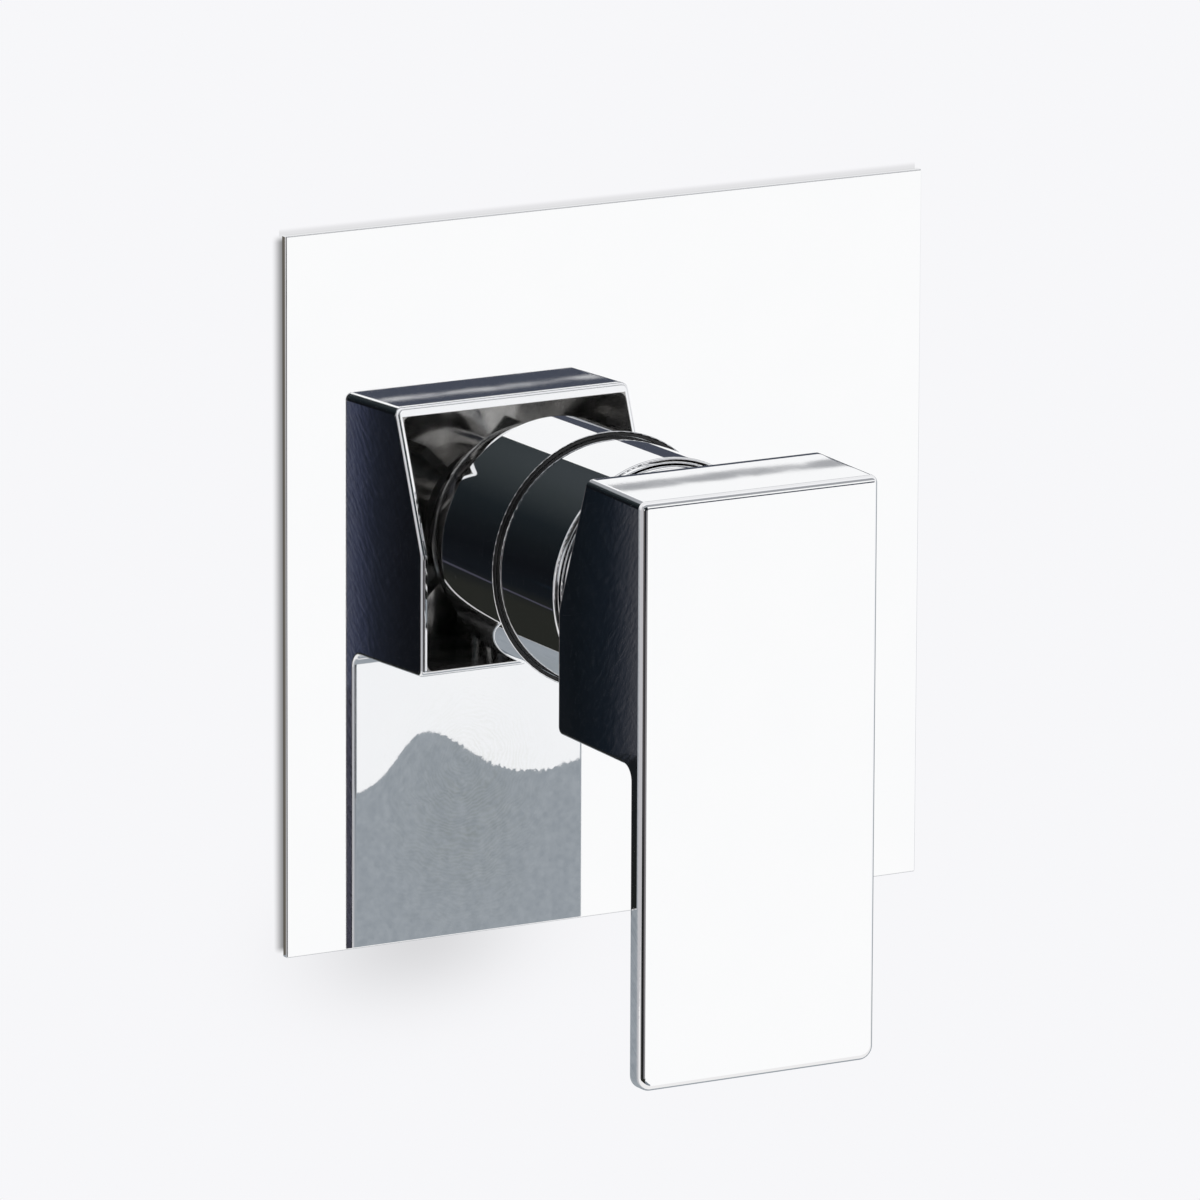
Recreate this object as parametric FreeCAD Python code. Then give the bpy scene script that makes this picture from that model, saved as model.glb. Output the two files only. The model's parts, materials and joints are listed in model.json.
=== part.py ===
import FreeCAD, Part
import math
import os

# A wall-mounted pressure balance shower valve: square plate, round sleeve and flat lever in front of the wall, and
# the cartridge, pressure balance unit and brass body behind it.
# Millimetres. The origin is on the valve's axis in the plane of the finished wall, +Y goes into the wall, +X is to
# the user's right and +Z is up. The lever hangs straight down, closed and between hot and cold.

Vector = FreeCAD.Vector
RIGHT = Vector(1, 0, 0)
INWARD = Vector(0, 1, 0)
UP = Vector(0, 0, 1)
SIDES = (-1, 1)

# Clearances
fit_gap = 0.05
running_gap = 0.08
loose_gap = 0.3
thread_gap = 0.1

# Faceplate, its gasket, the collar behind it and the rubber ring around the sleeve's foot
plate_size = 150.0
plate_thickness = 1.5
plate_edge_round = 0.3
gasket_thickness = 1.0
gasket_inset = 3.0
gasket_width = 12.0
collar_wall = 5.5
collar_depth = 8.0
foot_ring_wire = 0.7
foot_ring_sink = 0.4

# Sleeve and the ball-shaped cap in its end
sleeve_length = 23.4
sleeve_wall = 1.4
sleeve_tail = 12.0
sleeve_edge_round = 0.5
sleeve_ring_wire = 2.0
dome_gap = 0.15
dome_wall = 1.4
dome_mouth_radius = 14.0

# Lever handle
handle_width = 55.5
handle_reach = 62.0
hub_top = 26.8
hub_drop = 27.5
hub_depth = 33.9
hub_top_depth = 22.7
hub_top_draft = 0.7
hub_kink_drop = 1.7
hub_underside_draft = 0.8
hub_wall = 1.2
hub_front_wall = 3.0
lever_drop = 95.2
lever_thickness = 4.5
front_round = 1.55
back_round = 0.8
hub_kink_round = 4.0
hub_corner_round = 1.5
lever_root_round = 3.0
tip_corner_round = 3.0
top_corner_round = 1.6
pocket_round = 1.5
boss_wall = 4.5
boss_gap = 0.6
skirt_radius = 15.0
skirt_wall = 2.0
rib_thickness = 2.0
rib_reach = 22.0
screw_post_radius = 4.5
set_screw_radius = 2.5
set_screw_length = 8.0
set_screw_key = 2.5
plug_thickness = 2.0

# Cartridge
cartridge_radius = 20.0
pivot_rise = 0.9
lift_range = 20.0
turn_range = 45.0
stem_width = 8.0
stem_height = 8.0
stem_neck_radius = 2.6
stem_ball_radius = 3.2
stem_heel = 5.0
stem_heel_round = 2.0
stem_end_gap = 1.0
pivot_pin_radius = 1.5
rotor_radius = 12.5
rotor_nose = 5.0
rotor_length = 16.0
rotor_flange = 3.0
rotor_rail_length = 5.0
rotor_tab_half_angle = 8.0
housing_wall = 2.5
housing_neck_wall = 1.9
housing_neck_rise = 3.0
limit_ring_thickness = 3.5
limit_lug_height = 2.0
limit_lug_angle = 24.0
limit_lug_room = 2.0
carrier_floor = 1.5
carrier_flat_depth = 0.8
ball_lead = 0.8
disc_film = 0.05
moving_disc_thickness = 3.5
fixed_disc_thickness = 4.5
mixing_pocket_depth = 1.8
base_thickness = 8.7
port_radius = 3.2
inlet_port_spread = 7.5
inlet_port_drop = 5.0
outlet_port_rise = 7.0
seal_wire = 1.8
nut_thickness = 6.0
nut_hex_height = 3.0
nut_hex_flats = 36.0

# Brass body
neck_wall = 4.4
nut_thread_wall = 2.5
core_radius = 27.0
core_depth = 32.0
floor_thickness = 3.0
branch_radius = 14.0
branch_reach = 45.0
outlet_reach = 54.0
branch_hex_flats = 30.0
branch_hex_length = 12.0
wrench_bevel = 30.0
pipe_thread_radius = 9.3
pipe_thread_length = 15.0
passage_radius = 6.0
block_half_width = 26.0
block_depth = 18.0

# Pressure balance unit
balance_drop = 36.0
balance_barrel_radius = 14.0
balance_sleeve_radius = 9.0
balance_sleeve_wall = 3.0
balance_sleeve_length = 51.0
balance_ring_wire = 1.6
spool_travel = 2.5
spool_end_gap = 0.5
spool_neck_depth = 1.8
feed_spread = 20.0
feed_radius = 3.0
window_radius = 2.2
cap_thread_radius = 10.4
cap_thread_length = 8.0
cap_head_height = 5.0
cap_head_flats = 20.0
cap_ring_wire = 1.8

# Check valves
cage_length = 12.5
cage_wall = 1.3
cage_end_thickness = 2.0
cage_ring_wire = 1.0
seat_radius = 3.0
poppet_radius = 4.0
poppet_thickness = 1.8
poppet_stem_radius = 1.0
poppet_lift = 2.5
spring_wire = 0.7
guide_hole_radius = 0.9

# Mounting bracket
bracket_width = 80.0
bracket_rise = 32.0
bracket_drop = 63.0
bracket_thickness = 2.0
bracket_corner_round = 4.0
bracket_hole_radius = 2.6
bracket_hole_edge = 7.0
bracket_screw_radius = 2.0
bracket_screw_head = 4.0
bracket_screw_length = 9.0
bracket_screw_spread = 14.0
bracket_screw_key = 2.5
bracket_screw_key_depth = 1.6

# Planes along the valve's axis in front of the wall
plate_back = -gasket_thickness
plate_front = plate_back - plate_thickness
sleeve_edge = plate_front - sleeve_length
handle_front = plate_front - handle_reach
hub_back = handle_front + hub_depth
hub_top_back = handle_front + hub_top_depth
lever_back = handle_front + lever_thickness
pocket_floor = handle_front + hub_front_wall

# Radii outward from the cartridge
neck_bore = cartridge_radius + thread_gap
neck_radius = neck_bore + neck_wall
sleeve_bore = neck_radius + thread_gap
sleeve_radius = sleeve_bore + sleeve_wall
plate_hole = sleeve_radius + foot_ring_wire + 2 * fit_gap
nut_bore = neck_radius - nut_thread_wall
nut_radius = nut_bore - thread_gap

# The ball-shaped cap, centred on the stem's pivot
pivot = sleeve_edge - pivot_rise
dome_radius = sleeve_bore - dome_gap
dome_inner = dome_radius - dome_wall

# Planes and radii inside the cartridge, from the stem's pivot inward
stem_front = pocket_floor + stem_end_gap
rotor_front = pivot - rotor_nose
rotor_back = pivot + rotor_length
rotor_flange_front = rotor_back - rotor_flange
rotor_bore = rotor_radius + running_gap
housing_front = pivot - housing_neck_rise
housing_neck_radius = rotor_bore + housing_neck_wall
chamber_radius = cartridge_radius - housing_wall
chamber_front = rotor_flange_front - loose_gap
shoulder = chamber_front - housing_wall
carrier_front = rotor_back + loose_gap
ball_centre = carrier_front + stem_ball_radius - ball_lead
ball_pocket_floor = ball_centre + stem_ball_radius + loose_gap
carrier_back = ball_pocket_floor + carrier_floor
moving_disc_back = carrier_back + moving_disc_thickness
fixed_disc_front = moving_disc_back + disc_film
fixed_disc_back = fixed_disc_front + fixed_disc_thickness
seat = fixed_disc_back + base_thickness
nut_front = shoulder - nut_thickness
flange_radius = chamber_radius - 2 * loose_gap
tip_arm = ball_centre - pivot
disc_travel = tip_arm * math.radians(lift_range)
moving_disc_radius = chamber_radius - disc_travel / 2 - 2 * loose_gap
carrier_half_width = moving_disc_radius - carrier_flat_depth

# Planes of the brass body
core_front = seat + floor_thickness
core_back = core_front + core_depth
branch_plane = core_front + core_depth / 2
inlet_floor = branch_reach - pipe_thread_length
bracket_back = core_back + bracket_thickness

# Pressure balance unit and check valves
spool_radius = balance_sleeve_radius - balance_sleeve_wall
spool_bore = spool_radius + fit_gap
spool_end = balance_sleeve_length / 2 - spool_travel - spool_end_gap
balance_bore = balance_sleeve_radius + fit_gap
balance_sleeve_end = balance_sleeve_length / 2
cap_nose = balance_sleeve_end + fit_gap
barrel_end = cap_nose + cap_thread_length
cage_radius = passage_radius - fit_gap
cage_bore = cage_radius - cage_wall
cage_outer_end = inlet_floor
cage_inner_end = cage_outer_end - cage_length
passage_end = cage_inner_end - poppet_lift


def rod(radius, start, end):
    return Part.makeCylinder(radius, (end - start).Length, start, end - start)


def axial(radius, start, end, x=0.0, z=0.0):
    """A round bar parallel to the valve's axis."""
    return rod(radius, Vector(x, start, z), Vector(x, end, z))


def axial_ring(outer, inner, start, end):
    return axial(outer, start, end).cut(axial(inner, start, end))


def crosswise(radius, start, end, y, z):
    """A round bar from left to right."""
    return rod(radius, Vector(start, y, z), Vector(end, y, z))


def upright(radius, start, end, x, y):
    return rod(radius, Vector(x, y, start), Vector(x, y, end))


def block(low, high):
    size = Vector(*high) - Vector(*low)
    return Part.makeBox(size.x, size.y, size.z, Vector(*low))


def hexagon(flats, start, end):
    """A hexagonal bar whose axis runs from start to end."""
    corner = flats / math.sqrt(3)
    points = []
    for step in range(7):
        angle = math.radians(60 * step)
        points.append(Vector(corner * math.cos(angle), corner * math.sin(angle), 0))
    bar = Part.Face(Part.makePolygon(points)).extrude(UP * (end - start).Length)
    bar.Placement = FreeCAD.Placement(start, FreeCAD.Rotation(UP, end - start))
    return bar


def wrench_hexagon(flats, start, end):
    """A hexagonal bar with its corners turned down at the far end, as on a nut."""
    corner = flats / math.sqrt(3)
    face_radius = flats / 2 - fit_gap
    way = (end - start).normalize()
    taper = (corner - face_radius) * math.tan(math.radians(wrench_bevel))
    bevel = Part.makeCone(corner, face_radius, taper, end - way * taper, way)
    return hexagon(flats, start, end).common(rod(corner, start, end - way * taper).fuse(bevel))


def rounded_wire(corners, place):
    """A closed outline with each corner rounded by its own radius. place turns a flat point into a 3-D one."""
    edges = []
    tangents = []
    count = len(corners)
    for i, (corner, radius) in enumerate(corners):
        here = Vector(*corner, 0)
        back = (Vector(*corners[i - 1][0], 0) - here).normalize()
        ahead = (Vector(*corners[(i + 1) % count][0], 0) - here).normalize()
        half = back.getAngle(ahead) / 2
        middle = (back + ahead).normalize()
        run = radius / math.tan(half)
        bulge = here + middle * (radius / math.sin(half) - radius)
        tangents.append((here + back * run, bulge, here + ahead * run))
    for i, (first, bulge, last) in enumerate(tangents):
        if first.distanceToPoint(last) > 1e-6:
            edges.append(Part.Arc(place(first), place(bulge), place(last)).toShape())
        follower = tangents[(i + 1) % count][0]
        edges.append(Part.LineSegment(place(last), place(follower)).toShape())
    return Part.Wire(edges)


def plain_corners(points):
    return [(point, 0.0) for point in points]


def prism_across(corners, half_width):
    """A side outline of (y, z) points carried from left to right."""
    wire = rounded_wire(corners, lambda p: Vector(-half_width, p.x, p.y))
    return Part.Face(wire).extrude(RIGHT * (2 * half_width))


def prism_inward(corners, start, end):
    """A front outline of (x, z) points carried along the valve's axis."""
    wire = rounded_wire(corners, lambda p: Vector(p.x, start, p.y))
    return Part.Face(wire).extrude(INWARD * (end - start))


def rectangle(half_width, low, high, low_round, high_round):
    return [
        ((-half_width, low), low_round),
        ((half_width, low), low_round),
        ((half_width, high), high_round),
        ((-half_width, high), high_round),
    ]


def edges_where(shape, test):
    return [edge for edge in shape.Edges if all(test(vertex.Point) for vertex in edge.Vertexes)]


def ball(radius, y, z=0.0):
    return Part.makeSphere(radius, Vector(0, y, z))


def axial_o_ring(mid_radius, wire, y, x=0.0, z=0.0):
    return Part.makeTorus(mid_radius, wire / 2, Vector(x, y, z), INWARD)


def crosswise_o_ring(mid_radius, wire, x, y, z):
    return Part.makeTorus(mid_radius, wire / 2, Vector(x, y, z), RIGHT)


def turned_about_axis(shape, degrees):
    return shape.rotated(Vector(0, 0, 0), INWARD, degrees)


def ring_sector(outer, inner, start, end, middle_angle, half_angle):
    """A stretch of a ring around the valve's axis, its middle turned from straight up."""
    reach = 2 * outer
    side = reach * math.tan(math.radians(half_angle))
    wedge = plain_corners([(0, 0), (side, reach), (-side, reach)])
    sector = axial_ring(outer, inner, start, end).common(prism_inward(wedge, start, end))
    return turned_about_axis(sector, middle_angle)


def inside_dome(y):
    """The radius inside the domed cap at a plane across the axis."""
    return math.sqrt(dome_inner**2 - (y - pivot) ** 2)


# Faceplate and what holds it


def faceplate():
    half = plate_size / 2
    outline = rectangle(half, -half, half, plate_edge_round, plate_edge_round)
    plate = prism_inward(outline, plate_front, plate_back).cut(axial(plate_hole, plate_front, plate_back))
    return plate.makeFillet(plate_edge_round, edges_where(plate, lambda p: p.y < plate_front + fit_gap))


def faceplate_gasket():
    outer = plate_size / 2 - gasket_inset
    inner = outer - gasket_width
    frame = block((-outer, plate_back, -outer), (outer, 0, outer))
    return frame.cut(block((-inner, plate_back, -inner), (inner, 0, inner)))


def plate_collar():
    bore = sleeve_radius + loose_gap
    return axial_ring(bore + collar_wall, bore, plate_back, plate_back + collar_depth)


def plate_o_ring():
    mid_radius = sleeve_radius + foot_ring_wire / 2 + fit_gap
    return axial_o_ring(mid_radius, foot_ring_wire, plate_front + foot_ring_sink)


# Sleeve and domed cap


def sleeve():
    tube = axial_ring(sleeve_radius, sleeve_bore, sleeve_edge, sleeve_tail)
    return tube.makeFillet(sleeve_edge_round, edges_where(tube, lambda p: p.y < sleeve_edge + fit_gap))


def dome_arc(radius, start, end):
    """An arc of the dome's section from one distance from the axis to another."""
    points = []
    for distance in (start, (start + end) / 2, end):
        points.append(Vector(distance, pivot - math.sqrt(radius**2 - distance**2), 0))
    return Part.Arc(*points).toShape(), points[0], points[-1]


def dome_cap():
    outer_arc, outer_edge, outer_mouth = dome_arc(dome_radius, dome_radius, dome_mouth_radius)
    inner_arc, inner_mouth, inner_edge = dome_arc(dome_inner, dome_mouth_radius, dome_inner)
    outer_foot = Vector(dome_radius, nut_front, 0)
    inner_foot = Vector(dome_inner, nut_front, 0)
    wire = Part.Wire(
        [
            Part.LineSegment(outer_foot, outer_edge).toShape(),
            outer_arc,
            Part.LineSegment(outer_mouth, inner_mouth).toShape(),
            inner_arc,
            Part.LineSegment(inner_edge, inner_foot).toShape(),
            Part.LineSegment(inner_foot, outer_foot).toShape(),
        ]
    )
    return Part.Face(wire).revolve(Vector(0, 0, 0), INWARD, 360)


sleeve_ring_plane = (nut_front + seat) / 2


def sleeve_o_ring():
    return axial_o_ring(sleeve_bore - sleeve_ring_wire / 2 - fit_gap, sleeve_ring_wire, sleeve_ring_plane)


# Lever handle and what fastens it to the stem

half_handle = handle_width / 2
boss_back = pivot - dome_radius - boss_gap
set_screw_plane = (pocket_floor + boss_back) / 2
boss_half = stem_width / 2 + boss_wall
set_screw_top = -stem_height / 2 - fit_gap
set_screw_low = set_screw_top - set_screw_length


def handle_body():
    side = [
        ((handle_front, hub_top), 0.0),
        ((hub_top_back, hub_top + hub_top_draft), 0.0),
        ((hub_back, -hub_kink_drop), hub_kink_round),
        ((hub_back, -hub_drop), hub_corner_round),
        ((lever_back, -hub_drop - hub_underside_draft), lever_root_round),
        ((lever_back, -lever_drop), 0.0),
        ((handle_front, -lever_drop), 0.0),
    ]
    front = rectangle(half_handle, -lever_drop, hub_top + hub_top_draft, tip_corner_round, 0.0)
    body = prism_across(side, half_handle).common(prism_inward(front, handle_front, hub_back))
    top = edges_where(body, lambda p: p.z > hub_top - fit_gap)
    body = body.makeFillet(top_corner_round, [edge for edge in top if edge.BoundBox.XLength < fit_gap])
    body = body.makeFillet(front_round, edges_where(body, lambda p: p.y < handle_front + fit_gap))
    behind = edges_where(body, lambda p: p.y > lever_back - fit_gap)
    around = [edge for edge in behind if edge.BoundBox.XLength < handle_width - fit_gap]
    return body.makeFillet(back_round, around)


def handle_pocket():
    """The hollow of the cast hub, open to the wall."""
    half = half_handle - hub_wall
    outline = rectangle(half, -hub_drop + hub_wall, hub_top - hub_wall, pocket_round, pocket_round)
    return prism_inward(outline, pocket_floor, hub_back + hub_wall)


def handle_ribs(pocket):
    """Diagonal ribs from the boss toward the corners of the hub."""
    half = rib_thickness / 2
    strip = block((-half, pocket_floor, -rib_reach), (half, boss_back, rib_reach))
    crossed = turned_about_axis(strip, 45).fuse(turned_about_axis(strip, -45))
    return crossed.common(pocket)


def lever_handle():
    pocket = handle_pocket()
    boss = block((-boss_half, pocket_floor, -boss_half), (boss_half, boss_back, boss_half))
    skirt = axial_ring(skirt_radius, skirt_radius - skirt_wall, pocket_floor, boss_back)
    post = upright(screw_post_radius, -hub_drop + hub_wall, 0, 0, set_screw_plane)
    inside = handle_ribs(pocket).fuse([boss, skirt, post])
    handle = handle_body().cut(pocket).fuse(inside)
    half_width = stem_width / 2 + fit_gap
    half_height = stem_height / 2 + fit_gap
    socket = block((-half_width, stem_front - fit_gap, -half_height), (half_width, pivot, half_height))
    screw_hole = upright(set_screw_radius + thread_gap, -hub_drop - hub_wall, 0, 0, set_screw_plane)
    return handle.cut([socket, screw_hole]).removeSplitter()


def handle_set_screw():
    screw = upright(set_screw_radius, set_screw_low, set_screw_top, 0, set_screw_plane)
    low = Vector(0, set_screw_plane, set_screw_low)
    return screw.cut(hexagon(set_screw_key, low, low + UP * (set_screw_length / 2)))


def set_screw_plug():
    low = -hub_drop - hub_underside_draft / 2 + loose_gap
    return upright(set_screw_radius + thread_gap - fit_gap, low, low + plug_thickness, 0, set_screw_plane)


# Cartridge


def lever_stem():
    half_width = stem_width / 2
    half_height = stem_height / 2
    bar = block((-half_width, stem_front, -half_height), (half_width, pivot + stem_heel, half_height))
    heel = edges_where(bar, lambda p: p.y > pivot)
    bar = bar.makeFillet(stem_heel_round, [edge for edge in heel if abs(edge.tangentAt(0).x) > 0.5])
    neck = axial(stem_neck_radius, pivot, ball_centre)
    stem = bar.fuse([neck, ball(stem_ball_radius, ball_centre)])
    return stem.cut(crosswise(pivot_pin_radius + fit_gap, -stem_width, stem_width, pivot, 0))


def stem_rotor():
    barrel = axial(rotor_radius, rotor_front, rotor_back)
    flange = axial(flange_radius, rotor_flange_front, rotor_back)
    rail_end = rotor_back + rotor_rail_length
    rail_ring = axial(flange_radius, rotor_back, rail_end)
    inner = carrier_half_width + loose_gap
    keep_out = block((-inner, rotor_back, -flange_radius), (inner, rail_end, flange_radius))
    tab_radius = inside_dome(rotor_front) - loose_gap
    tab_back = housing_front - loose_gap
    tab = ring_sector(tab_radius, rotor_radius / 2, rotor_front, tab_back, 0, rotor_tab_half_angle)
    rotor = barrel.fuse([flange, rail_ring.cut(keep_out), tab])
    tilt = math.radians(lift_range)
    slot_half = tip_arm * math.sin(tilt) + stem_ball_radius + loose_gap
    slot_side = stem_width / 2 + loose_gap
    slot = block((-slot_side, rotor_front, -slot_half), (slot_side, rotor_back, slot_half))
    pin_hole = crosswise(pivot_pin_radius + fit_gap, -rotor_radius, rotor_radius, pivot, 0)
    return rotor.cut([slot, pin_hole]).removeSplitter()


def pivot_pin():
    half = rotor_radius - loose_gap
    return crosswise(pivot_pin_radius, -half, half, pivot, 0)


def cartridge_housing():
    neck = axial(housing_neck_radius, housing_front, shoulder)
    barrel = axial(cartridge_radius, shoulder, fixed_disc_back)
    bore = axial(rotor_bore, housing_front, chamber_front)
    chamber = axial(chamber_radius, chamber_front, fixed_disc_back)
    return neck.fuse(barrel).cut([bore, chamber])


limit_ring_bore = housing_neck_radius + fit_gap
limit_ring_front = housing_front + loose_gap
limit_ring_back = limit_ring_front + limit_ring_thickness


def hot_limit_ring():
    lug_front = limit_ring_front - limit_lug_height
    outer = inside_dome(lug_front) - 2 * loose_gap
    ring = axial_ring(outer, limit_ring_bore, limit_ring_front, limit_ring_back)
    stop = turn_range + rotor_tab_half_angle + limit_lug_angle / 2 + limit_lug_room
    for side in SIDES:
        lug = ring_sector(outer, limit_ring_bore, lug_front, limit_ring_front, side * stop, limit_lug_angle / 2)
        ring = ring.fuse(lug)
    return ring.removeSplitter()


def cartridge_nut():
    ring = axial_ring(nut_radius, housing_neck_radius + loose_gap, nut_front, shoulder)
    hex_front = nut_front - nut_hex_height
    head = hexagon(nut_hex_flats, Vector(0, hex_front, 0), Vector(0, nut_front, 0))
    head = head.cut(axial(housing_neck_radius + loose_gap, hex_front, nut_front))
    return ring.fuse(head).removeSplitter()


def disc_carrier():
    disc = axial(moving_disc_radius, carrier_front, carrier_back, z=disc_travel / 2)
    half = carrier_half_width
    flats = block((-half, carrier_front, -cartridge_radius), (half, carrier_back, cartridge_radius))
    room = stem_ball_radius + loose_gap
    pocket = block((-room, carrier_front, -room), (room, ball_pocket_floor, room))
    return disc.common(flats).cut(pocket)


def moving_disc():
    disc = axial(moving_disc_radius, carrier_back, moving_disc_back, z=disc_travel / 2)
    mixing_front = moving_disc_back - mixing_pocket_depth
    mixing = axial(2 * port_radius, mixing_front, moving_disc_back, z=outlet_port_rise)
    return disc.cut(mixing)


def port_places():
    """The hot, cold and mixed ports as (x, z)."""
    hot = (-inlet_port_spread, -inlet_port_drop)
    cold = (inlet_port_spread, -inlet_port_drop)
    return [hot, cold, (0.0, outlet_port_rise)]


def fixed_disc():
    disc = axial(chamber_radius - fit_gap, fixed_disc_front, fixed_disc_back)
    return disc.cut([axial(port_radius, fixed_disc_front, fixed_disc_back, x, z) for x, z in port_places()])


seal_mid_radius = port_radius + seal_wire / 2 + fit_gap


def cartridge_base():
    base = axial(cartridge_radius, fixed_disc_back, seat)
    cuts = []
    for x, z in port_places():
        cuts.append(axial(port_radius, fixed_disc_back, seat, x, z))
        cuts.append(axial(port_radius + seal_wire + 2 * fit_gap, seat - seal_wire - fit_gap, seat, x, z))
    return base.cut(cuts)


def base_seals():
    plane = seat - seal_wire / 2 - fit_gap / 2
    return Part.makeCompound([axial_o_ring(seal_mid_radius, seal_wire, plane, x, z) for x, z in port_places()])


# Brass body


def branch_ends():
    """Where each hexagonal pipe end starts, and the way that it points."""
    ends = [(Vector(0, branch_plane, outlet_reach - branch_hex_length), UP)]
    for side in SIDES:
        ends.append((Vector(side * (branch_reach - branch_hex_length), branch_plane, 0), RIGHT * side))
    return ends


def body_outside():
    neck = axial(neck_radius, nut_front, core_front)
    core = axial(core_radius, core_front, core_back)
    branches = crosswise(branch_radius, -branch_reach, branch_reach, branch_plane, 0)
    outlet = upright(branch_radius, 0, outlet_reach, 0, branch_plane)
    barrel = crosswise(balance_barrel_radius, -barrel_end, barrel_end, branch_plane, -balance_drop)
    ends = []
    for start, way in branch_ends():
        ends.append(wrench_hexagon(branch_hex_flats, start, start + way * branch_hex_length))
    low = (-block_half_width, branch_plane - block_depth / 2, -balance_drop)
    high = (block_half_width, branch_plane + block_depth / 2, 0)
    return neck.fuse([core, branches, outlet, barrel, block(low, high)] + ends)


def body_waterways():
    """Pipe threads, passages and drillings, from the inlets through the balance unit to the outlet."""
    cuts = []
    for side in SIDES:
        mouth = side * branch_reach
        step = side * inlet_floor
        cuts.append(crosswise(pipe_thread_radius, step, mouth, branch_plane, 0))
        cuts.append(crosswise(passage_radius, side * passage_end, step, branch_plane, 0))
        cuts.append(upright(feed_radius, -balance_drop, 0, side * feed_spread, branch_plane))
        return_x = side * inlet_port_spread
        cuts.append(upright(port_radius, -balance_drop, -inlet_port_drop, return_x, branch_plane))
    outlet_floor = outlet_reach - pipe_thread_length
    cuts.append(upright(pipe_thread_radius, outlet_floor, outlet_reach, 0, branch_plane))
    cuts.append(upright(passage_radius, outlet_port_rise, outlet_floor, 0, branch_plane))
    cuts += [axial(port_radius, seat, branch_plane, x, z) for x, z in port_places()]
    return cuts


def body_balance_bores():
    bores = [crosswise(balance_bore, -cap_nose, cap_nose, branch_plane, -balance_drop)]
    for side in SIDES:
        thread = cap_thread_radius + thread_gap
        bores.append(crosswise(thread, side * cap_nose, side * barrel_end, branch_plane, -balance_drop))
    return bores


def bracket_screw_places():
    return [side * bracket_screw_spread for side in SIDES]


def valve_body():
    half = sleeve_ring_wire / 2 + fit_gap
    groove_radius = sleeve_bore - sleeve_ring_wire - 2 * fit_gap
    ring_start = sleeve_ring_plane - half
    ring_end = sleeve_ring_plane + half
    cuts = [
        axial(neck_bore, shoulder, seat),
        axial(nut_bore, nut_front, shoulder),
        axial_ring(sleeve_bore, groove_radius, ring_start, ring_end),
    ]
    cuts += body_waterways()
    cuts += body_balance_bores()
    hole_end = bracket_back - bracket_screw_length - loose_gap
    cuts += [axial(bracket_screw_radius + fit_gap, hole_end, core_back, x) for x in bracket_screw_places()]
    return body_outside().cut(cuts).removeSplitter()


# Pressure balance unit


def balance_ring_places():
    between = (feed_spread + inlet_port_spread) / 2
    outer = (feed_spread + feed_radius + balance_sleeve_end) / 2
    return [-outer, -between, 0.0, between, outer]


def balance_sleeve():
    end = balance_sleeve_end
    tube = crosswise(balance_sleeve_radius, -end, end, branch_plane, -balance_drop)
    cuts = [crosswise(spool_bore, -end, end, branch_plane, -balance_drop)]
    half = balance_ring_wire / 2 + fit_gap
    floor = balance_bore - balance_ring_wire - 2 * fit_gap
    for x in balance_ring_places():
        groove = crosswise(balance_bore, x - half, x + half, branch_plane, -balance_drop)
        cuts.append(groove.cut(crosswise(floor, x - half, x + half, branch_plane, -balance_drop)))
    for side in SIDES:
        for x in (feed_spread, inlet_port_spread):
            cuts.append(upright(window_radius, -balance_drop, 0, side * x, branch_plane))
    return tube.cut(cuts)


def balance_o_rings():
    mid = balance_bore - balance_ring_wire / 2 - fit_gap
    rings = []
    for x in balance_ring_places():
        rings.append(crosswise_o_ring(mid, balance_ring_wire, x, branch_plane, -balance_drop))
    return Part.makeCompound(rings)


def balance_spool():
    spool = crosswise(spool_radius, -spool_end, spool_end, branch_plane, -balance_drop)
    inner = inlet_port_spread - window_radius
    outer = feed_spread - window_radius
    for side in SIDES:
        groove = crosswise(spool_radius, side * inner, side * outer, branch_plane, -balance_drop)
        left_in = spool_radius - spool_neck_depth
        spool = spool.cut(groove.cut(crosswise(left_in, side * inner, side * outer, branch_plane, -balance_drop)))
    return spool


cap_ring_x = cap_nose + cap_thread_length / 2


def balance_caps():
    caps = []
    half = cap_ring_wire / 2 + fit_gap
    floor = cap_thread_radius + thread_gap - cap_ring_wire - 2 * fit_gap
    for side in SIDES:
        plug = crosswise(cap_thread_radius, side * cap_nose, side * barrel_end, branch_plane, -balance_drop)
        start = side * (cap_ring_x - half)
        end = side * (cap_ring_x + half)
        groove = crosswise(cap_thread_radius, start, end, branch_plane, -balance_drop)
        plug = plug.cut(groove.cut(crosswise(floor, start, end, branch_plane, -balance_drop)))
        face = Vector(side * barrel_end, branch_plane, -balance_drop)
        caps.append(plug.fuse(wrench_hexagon(cap_head_flats, face, face + RIGHT * (side * cap_head_height))))
    return Part.makeCompound(caps)


def cap_o_rings():
    mid = cap_thread_radius + thread_gap - cap_ring_wire / 2 - fit_gap
    rings = []
    for side in SIDES:
        rings.append(crosswise_o_ring(mid, cap_ring_wire, side * cap_ring_x, branch_plane, -balance_drop))
    return Part.makeCompound(rings)


# Check valves, one in each inlet: hot on the left, cold on the right

cage_ring_x = cage_outer_end - cage_end_thickness / 2
poppet_outer_end = cage_outer_end - cage_end_thickness - fit_gap
poppet_inner_face = poppet_outer_end - poppet_thickness
guide_face = cage_inner_end + cage_end_thickness


def inlet_rod(radius, start, end, side, y=0.0, z=0.0):
    return crosswise(radius, side * start, side * end, branch_plane + y, z)


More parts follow.
